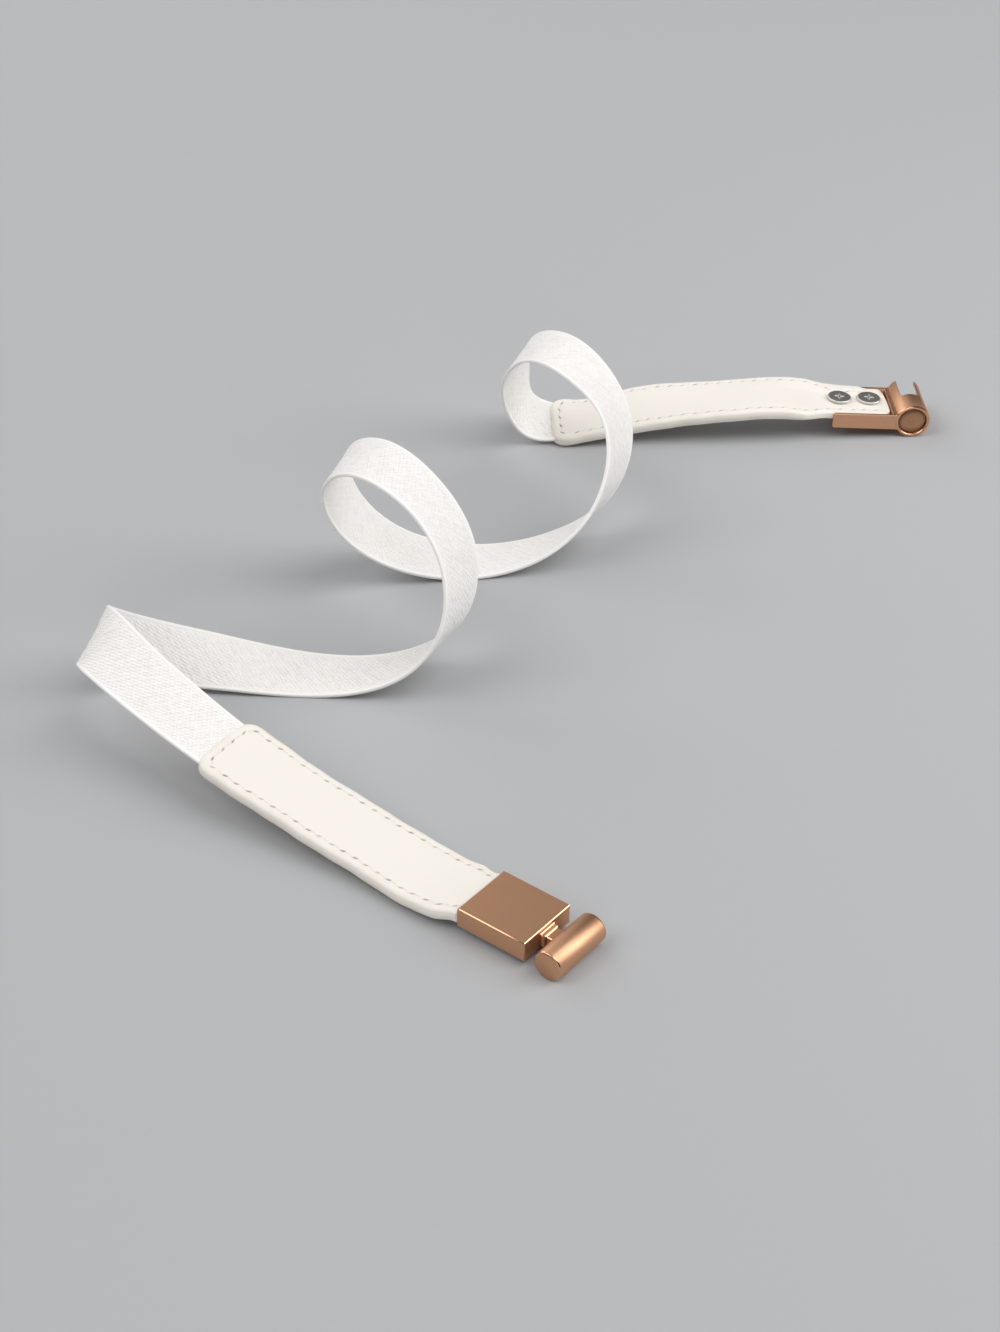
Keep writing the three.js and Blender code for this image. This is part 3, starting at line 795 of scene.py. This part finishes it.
class Skin:
    """The points of a tab's leather, as they are added, with their numbers for the material."""

    def __init__(self, tab):
        self.tab = tab
        self.points, self.holes, self.rims = [], [], []

    def add(self, flat, height, rim, face):
        """Adds points. face is 1 for the upper face, -1 for the lower one and 0 for the wall."""
        slit, near = self.tab.hole_marks(flat) if face else np.zeros((2, len(flat)))
        dent = slit * HOLE_DEPTH + near * HOLE_DIMPLE
        self.points.append(self.tab.place(flat, height - face * dent))
        self.holes.append(slit)
        self.rims.append(np.full(len(flat), rim))

    def fill(self, face, ring):
        """Fills a face inside its innermost ring, which has this number, and gives the faces."""
        tab = self.tab
        count = len(tab.loop)
        base, first_new = ring * count, sum(map(len, self.points))
        inner = tab.loop + tab.inward * INSETS[-1]
        end_row = np.arange(tab.ends)
        left = np.arange(tab.ends, tab.ends + tab.sides)
        tip_row = np.arange(tab.ends + tab.sides, tab.ends + tab.sides + tab.tips)[::-1]
        right = count - 1 - np.arange(tab.sides)
        share = (inner[end_row, 1] - inner[0, 1]) / (inner[tab.ends - 1, 1] - inner[0, 1])
        share = share[None, 1:-1, None]
        flat = inner[right][:, None] * (1 - share) + inner[left][:, None] * share
        flat = flat.reshape(-1, 2)
        inset = np.minimum(tab.half_width(flat[:, 0], flat[:, 1]) - np.abs(flat[:, 1]), flat[:, 0])
        inset = np.maximum(np.minimum(inset, tab.length - flat[:, 0]), INSETS[-1])
        surface = tab.upper if face > 0 else tab.lower
        self.add(flat, surface(flat, inset), 0.0, face)
        index = np.empty((tab.sides + 1, tab.ends), int)
        index[0] = base + end_row
        index[1:, 0] = base + right
        index[1:, -1] = base + left
        index[1:, 1:-1] = first_new + np.arange(len(flat)).reshape(tab.sides, -1)
        return grid_faces(index, face > 0) + zip_row(index[-1], base + tip_row, face > 0)


def rim_share(inset):
    """How much a ring this far inside the outline belongs to the worn rim, from 0 to 1."""
    return 1 - smoothstep(inset, 1.7, 2.7)


def make_tab(context, tab):
    """A puffed leather tab with stitch holes and a slit end for the strap."""
    skin = Skin(tab)
    for inset in reversed(INSETS):
        skin.add(*face_ring(tab, 1, inset), rim_share(inset), 1)
    for level in WALL:
        skin.add(*wall_ring(tab, level), rim_share(0.0), 0)
    for inset in INSETS:
        skin.add(*face_ring(tab, -1, inset), rim_share(inset), -1)
    rings = len(skin.points)
    number = np.arange(rings * len(tab.loop)).reshape(rings, -1)
    faces = grid_faces(np.concatenate([number, number[:, :1]], axis=1))
    faces += skin.fill(1, 0)
    faces += skin.fill(-1, rings - 1)
    points = np.concatenate(skin.points)
    # hole carries the painted shade of the stitch holes into the leather's colour.
    marks = {"hole": np.concatenate(skin.holes), "rim": np.concatenate(skin.rims)}
    piece = new_piece(tab.name, points, faces, finish_of(context, cream_leather), marks)
    face_outward(piece)
    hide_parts(tab.node)


def make_stitches(context, tab):
    """The thread of a tab's seam, one low rounded stitch between two holes, on both faces."""
    sides, steps = 8, 9
    share = np.linspace(*THREAD_SPAN, steps)
    arch = np.sin(np.pi * np.linspace(0, 1, steps)) ** 0.5
    angle = np.linspace(0, 2 * np.pi, sides, endpoint=False)
    points, faces = [], []
    for face in (1, -1):
        for a, b in zip(tab.holes[:-1], tab.holes[1:]):
            way = (b - a) / np.linalg.norm(b - a)
            side = np.array([-way[1], way[0]])
            centre = a + (b - a) * share[:, None] + side * (0.5 - share[:, None]) * HOLE_SLANT
            thick = THREAD_RADIUS * (0.4 + 0.6 * arch)
            ring = centre[:, None] + side * (np.cos(angle) * thick[:, None])[..., None]
            flat = ring.reshape(-1, 2)
            surface = tab.upper if face > 0 else tab.half_thickness
            low = surface(flat, STITCH_INSET).reshape(steps, sides) - THREAD_SINK
            low = low + THREAD_ARCH * arch[:, None]
            height = (low + np.sin(angle) * thick[:, None]).ravel()
            first = len(points) * steps * sides
            faces += [[first + k for k in f] for f in tube_faces(steps, sides)]
            points.append(tab.place(flat, height if face > 0 else tab.lowered(flat, height)))
    marks = {
        "along": np.tile(np.repeat(share * STITCH_PITCH, sides), len(points)),
        "around": np.tile(np.tile(angle, steps), len(points)),
    }
    name = tab.name.replace("cover", "stitches")
    points = np.concatenate(points)
    piece = new_piece(name, points, faces, finish_of(context, sewing_thread), marks)
    face_outward(piece)


TABS = (
    Tab("near_tab_cover", "near_leather_tab", NEAR_TAB_END, NEAR_TAB, -1, corners=(4.2, 3.6),
        tips=(6.0, 6.0), lip=0, reach=0.0),
    Tab("far_tab_cover", "far_leather_tab", FAR_TAB_END, FAR_TAB, 1, corners=(6.0, 4.6),
        tips=(8.5, 3.6), lip=1, reach=1.6),
)


class BELT_OT_tabs(bpy.types.Operator):
    """Makes both sewn leather tabs"""

    bl_idname = "belt.tabs"
    bl_label = "Leather tabs"

    def execute(self, context):
        for tab in TABS:
            make_tab(context, tab)
        return {"FINISHED"}


class BELT_OT_stitches(bpy.types.Operator):
    """Sews both leather tabs"""

    bl_idname = "belt.stitches"
    bl_label = "Stitches"

    def execute(self, context):
        for tab in TABS:
            make_stitches(context, tab)
        return {"FINISHED"}


# The metal


# Edges that turn by more than the sharp angle are bevelled, and by less than the flat one removed.
SHARP_ANGLE = math.radians(28)
FLAT_ANGLE = math.radians(1)
SHORTEST_EDGE = 0.1


def bevelled(context, node, name, width):
    """A copy of a solid in its place, with a flat polished bevel along each sharp edge."""
    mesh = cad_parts[node].data.copy()
    mesh.name = name
    shape = bmesh.new()
    shape.from_mesh(mesh)
    verts, edges = shape.verts, shape.edges
    bmesh.ops.remove_doubles(shape, verts=verts, dist=SHORTEST_EDGE * MM)
    bmesh.ops.dissolve_limit(shape, angle_limit=FLAT_ANGLE, verts=verts, edges=edges)
    polish = shape.faces.layers.float.new("polish")
    corners = [edge for edge in edges if edge.calc_face_angle(0) > SHARP_ANGLE]
    cut = bmesh.ops.bevel(
        shape, geom=corners, offset=width, segments=1, affect="EDGES", clamp_overlap=False)
    for face in cut["faces"]:
        face[polish] = 1.0
    shape.to_mesh(mesh)
    shape.free()
    mesh.materials.clear()
    mesh.materials.append(finish_of(context, rose_gold))
    mesh.polygons.foreach_set("use_smooth", [True] * len(mesh.polygons))
    mesh.set_sharp_from_angle(angle=SHARP_ANGLE)
    piece = riding_piece(name, mesh)
    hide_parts(node)


class BELT_OT_clasp(bpy.types.Operator):
    """Makes the bar and socket halves of the clasp, with bright bevelled edges"""

    bl_idname = "belt.clasp"
    bl_label = "Clasp"

    def execute(self, context):
        width = context.scene.belt_size.metal_edge
        bevelled(context, "bar_buckle", "bar_clasp", width)
        bevelled(context, "socket_buckle", "socket_clasp", width)
        return {"FINISHED"}


# The disc that closes the socket's near end: radius and depth behind the tube's end.
DISC = ((0.01, 0.55), (0.22, 0.57), (0.4, 0.78), (0.65, 0.84), (1.2, 0.83), (2.0, 0.78), (2.8, 0.7),
        (3.5, 0.59), (4.0, 0.49), (4.25, 0.45), (4.4, 0.52), (4.45, 0.98), (0.01, 0.98))


class BELT_OT_disc(bpy.types.Operator):
    """Makes the dished disc, with a small nib and painted shade towards its rim, that closes the
    socket's near end
    """

    bl_idname = "belt.disc"
    bl_label = "End disc"

    def execute(self, context):
        angle = np.linspace(0, 2 * np.pi, ROUND_SIDES, endpoint=False)
        points, tarnish = [], []
        for r, depth in DISC:
            y = np.full(ROUND_SIDES, depth - TUBE_LENGTH / 2)
            points.append(np.stack([TUBE_REACH + r * np.sin(angle), y, r * np.cos(angle)], 1))
            # Painted shade over the whole disc, darker towards its rim and most at two opposite
            # sides.
            tarnish.append(0.4 + 0.5 * smoothstep(r + 0.5 * np.cos(2 * angle + 0.6), 2.9, 4.4))
        points = FAR_TRAY.placed(np.concatenate(points))
        marks = {"tarnish": np.concatenate(tarnish)}
        faces = tube_faces(len(DISC), ROUND_SIDES)
        piece = new_piece("socket_end_disc", points, faces, finish_of(context, rose_gold), marks)
        face_outward(piece)
        return {"FINISHED"}


# A rivet's rings: the foot of its shank, its rolled rim by radius and height over the seat, and
# the radii of its flat top, closest where the star is pressed in.
RIVET_SEAT = TAB_THICKNESS / 2 + 0.3
RIVET_TOP = RIVET_SEAT + 0.75
RIVET_FOOT = (1.5, -1.9)
RIVET_RIM = ((1.5, 0), (3.9, 0), (4.06, 0.1), (4.12, 0.25), (4.12, 0.42), (4.08, 0.56),
             (3.98, 0.67), (3.85, 0.73))
RIVET_FLAT = (3.7, 3.2, 2.8, 2.4, 2.1, 1.9, *np.linspace(1.75, 0.05, 18))

# The star in a rivet's head: its narrowest radius, the length of its points, its turn in radians,
# its depth, and its lip, which stands as far outside the star as it is high.
STAR_HEART, STAR_POINTS, STAR_TURN = 0.3, 1.0, 0.35
STAR_DEPTH = 0.75
STAR_LIP, STAR_LIP_WIDTH = 0.22, 0.17


def make_rivet(context, tray, place, name, node):
    """One tubular rivet: a flat rolled head whose middle is split into a star."""
    rings = [RIVET_FOOT, *((r, RIVET_SEAT + rise) for r, rise in RIVET_RIM),
             *((r, RIVET_TOP) for r in RIVET_FLAT)]
    angle = np.linspace(0, 2 * np.pi, ROUND_SIDES, endpoint=False)
    star = STAR_HEART + STAR_POINTS * np.abs(np.cos(angle * 2.0 + STAR_TURN)) ** 5
    points, wear_and_highlight = [], []
    for r, z in rings:
        inner = float(z >= RIVET_TOP)
        dip = STAR_DEPTH * (1 - smoothstep(r, star - 0.3, star + 0.1)) * inner
        lip = STAR_LIP * np.exp(-(((r - star - STAR_LIP) / STAR_LIP_WIDTH) ** 2)) * inner
        x, y = r * np.cos(angle) + place, r * np.sin(angle) + RIVET_OFFSET
        points.append(np.stack([x, y, z - dip + lip], 1))
        # Painted highlight: brighter on the rolled rim, the star's lips and a little in the star's
        # hollow.
        wear_and_highlight.append(np.clip(smoothstep(r, 3.7, 3.9) + lip * 4 + dip * 0.3, 0, 1))
    points = tray.placed(np.concatenate(points))
    radius = np.repeat([r for r, _ in rings], ROUND_SIDES)
    marks = {"radius": radius, "wear_and_highlight": np.concatenate(wear_and_highlight)}
    faces = tube_faces(len(rings), ROUND_SIDES)
    piece = new_piece(name, points, faces, finish_of(context, grey_steel), marks)
    face_outward(piece)
    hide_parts(node)


class BELT_OT_rivets(bpy.types.Operator):
    """Makes the rivets that hold the leather in both trays"""

    bl_idname = "belt.rivets"
    bl_label = "Rivets"

    def execute(self, context):
        for side, tray in (("near", NEAR_TRAY), ("far", FAR_TRAY)):
            for i, place in enumerate(RIVET_PLACES, 1):
                make_rivet(context, tray, place, f"{side}_star_rivet_{i}", f"{side}_rivet_{i}")
        return {"FINISHED"}


# The stage


# Half the floor's side. It and the lamps are in metres.
FLOOR_HALF = 4.0

# The camera, as it was fitted to the photo: its place in millimetres, its dip, and its focal
# length as a share of the frame's longer side.
CAMERA_PLACE = (-12.87, -654.52, 453.02)
CAMERA_DIP = 35
FOCAL_SHARE = 2600 / 1332


def lamp_at(name, kind, place, power, **settings):
    """A lamp that faces the middle of the floor."""
    lamp = bpy.data.lights.new(name, kind)
    lamp.energy = power
    for key, value in settings.items():
        setattr(lamp, key, value)
    holder = bpy.data.objects.new(name, lamp)
    bpy.context.scene.collection.objects.link(holder)
    holder.location = place
    holder.rotation_euler = (-Vector(place)).to_track_quat("-Z", "Y").to_euler()


class BELT_OT_stage(bpy.types.Operator):
    """Makes the floor, the lamps, the sky and the camera"""

    bl_idname = "belt.stage"
    bl_label = "Stage"

    def execute(self, context):
        scene = context.scene
        look = scene.belt_look
        mesh = bpy.data.meshes.new("floor")
        low, high = -FLOOR_HALF, FLOOR_HALF
        corners = [(low, low, 0), (high, low, 0), (high, high, 0), (low, high, 0)]
        mesh.from_pydata(corners, [], [(0, 1, 2, 3)])
        mesh.materials.append(finish_of(context, studio_floor))
        floor = bpy.data.objects.new("floor", mesh)
        scene.collection.objects.link(floor)
        world = bpy.data.worlds.new("studio")
        world.use_nodes = True
        sky = world.node_tree.nodes["Background"]
        sky.inputs["Color"].default_value = (0.985, 0.99, 1.0, 1)
        sky.inputs["Strength"].default_value = look.sky
        scene.world = world
        lamp_at("right_panel", "SUN", (0.6, -0.1, 0.9), look.right, angle=0.8)
        lamp_at("left_panel", "SUN", (-0.68, -0.2, 0.78), look.left, angle=0.8)
        lamp_at("edge_light", "SUN", (0.05, -0.58, 0.85), look.edge, angle=0.45)
        lamp_at("top_softbox", "AREA", (-0.1, -0.12, 1.3), look.top, size=1.8)
        lamp_at("side_softbox", "AREA", (0.95, -0.02, 0.45), look.side, size=0.6)
        lamp_at("back_softbox", "AREA", (-0.9, 1.5, 1.3), look.back, size=2.2)
        lamp_at("corner_softbox", "AREA", (-1.2, 1.1, 0.9), look.corner, size=1.1)
        lamp_at("front_softbox", "AREA", (0.0, -1.4, 0.22), look.front, size=0.9)
        camera = bpy.data.cameras.new("camera")
        camera.sensor_width = 36.0
        camera.lens = FOCAL_SHARE * camera.sensor_width
        camera.clip_start, camera.clip_end = 0.01, 50
        holder = bpy.data.objects.new("camera", camera)
        scene.collection.objects.link(holder)
        holder.location = Vector(CAMERA_PLACE) * MM
        holder.rotation_euler = (math.radians(90 - CAMERA_DIP), 0, 0)
        scene.camera = holder
        scene.view_settings.view_transform = "Standard"
        return {"FINISHED"}


# Settings, panel and main


class BeltSize(bpy.types.PropertyGroup):
    """Sizes of the belt's fine detail, in metres"""

    rib_pitch: FloatProperty(
        name="Rib pitch", description="Distance between two twill ribs along the strap",
        default=1.38 * MM, unit="LENGTH")
    rib_relief: FloatProperty(
        name="Rib relief", description="Height of a twill rib above its furrow",
        default=0.17 * MM, unit="LENGTH")
    knots: FloatProperty(
        name="Knots", description="How unevenly each rib swells along its run",
        default=0.3)
    metal_edge: FloatProperty(
        name="Metal edge", description="Width of the bevel along the clasp's sharp edges",
        default=0.22 * MM, unit="LENGTH")


class BeltLook(bpy.types.PropertyGroup):
    """Colours of the belt and the light on it"""

    strap_colour: FloatVectorProperty(
        name="Strap", description="Colour of the woven elastic",
        default=(0.955, 0.928, 0.9), subtype="COLOR")
    rib_slope: FloatProperty(
        name="Rib slope", description="How far a rib runs along the strap for its run across it",
        default=0.75)
    leather_colour: FloatVectorProperty(
        name="Leather", description="Colour of the leather tabs",
        default=(0.875, 0.83, 0.765), subtype="COLOR")
    thread_colour: FloatVectorProperty(
        name="Thread", description="Colour of the sewing thread",
        default=(0.82, 0.79, 0.73), subtype="COLOR")
    metal_colour: FloatVectorProperty(
        name="Clasp", description="Colour of the plating",
        default=(0.735, 0.427, 0.262), subtype="COLOR")
    rivet_colour: FloatVectorProperty(
        name="Rivets", description="Colour of the rivets' heads",
        default=(0.45, 0.43, 0.41), subtype="COLOR")
    rim_colour: FloatVectorProperty(
        name="Rivet rims", description="Colour of the rivets' rims and stars",
        default=(0.75, 0.74, 0.72), subtype="COLOR")
    floor_colour: FloatVectorProperty(
        name="Floor", description="Colour of the floor",
        default=(0.445, 0.45, 0.46), subtype="COLOR")
    sky: FloatProperty(
        name="Sky", description="Strength of the light from all round",
        default=0.03)
    right: FloatProperty(
        name="Right", description="Strength of the distant panel at the right",
        default=1.22)
    left: FloatProperty(
        name="Left", description="Strength of the distant panel at the left",
        default=1.15)
    edge: FloatProperty(
        name="Edge", description="Strength of the small panel that lights edges",
        default=0.14)
    top: FloatProperty(
        name="Top", description="Power of the softbox above",
        default=3.6, unit="POWER")
    side: FloatProperty(
        name="Side", description="Power of the low softbox at the right",
        default=4.2, unit="POWER")
    back: FloatProperty(
        name="Back", description="Power of the softbox behind",
        default=7.0, unit="POWER")
    corner: FloatProperty(
        name="Corner", description="Power of the softbox behind at the left",
        default=5.5, unit="POWER")
    front: FloatProperty(
        name="Front", description="Power of the low softbox in front",
        default=4.6, unit="POWER")


OPERATORS = (BELT_OT_strap, BELT_OT_tabs, BELT_OT_stitches, BELT_OT_clasp, BELT_OT_disc,
             BELT_OT_rivets, BELT_OT_stage)


class BELT_PT_build(bpy.types.Panel):
    """Lists the belt's pieces and settings"""

    bl_label = "Elastic belt"
    bl_idname = "BELT_PT_build"
    bl_space_type = "VIEW_3D"
    bl_region_type = "UI"
    bl_category = "Belt"

    def draw(self, context):
        for group in (context.scene.belt_size, context.scene.belt_look):
            for name in group.__annotations__:
                self.layout.prop(group, name)
        for operator in OPERATORS:
            self.layout.operator(operator.bl_idname)


CLASSES = (BeltSize, BeltLook, *OPERATORS, BELT_PT_build)


def register():
    """Adds the belt's classes and settings to Blender."""
    for made in CLASSES:
        bpy.utils.register_class(made)
    bpy.types.Scene.belt_size = PointerProperty(type=BeltSize)
    bpy.types.Scene.belt_look = PointerProperty(type=BeltLook)


def unregister():
    """Takes the belt's settings and classes out again."""
    del bpy.types.Scene.belt_look
    del bpy.types.Scene.belt_size
    for made in reversed(CLASSES):
        bpy.utils.unregister_class(made)


def main():
    """Builds the belt and its stage."""
    register()
    bpy.ops.belt.strap()
    bpy.ops.belt.tabs()
    bpy.ops.belt.stitches()
    bpy.ops.belt.clasp()
    bpy.ops.belt.disc()
    bpy.ops.belt.rivets()
    bpy.ops.belt.stage()
    bpy.context.view_layer.update()


if __name__ == "__main__":
    main()
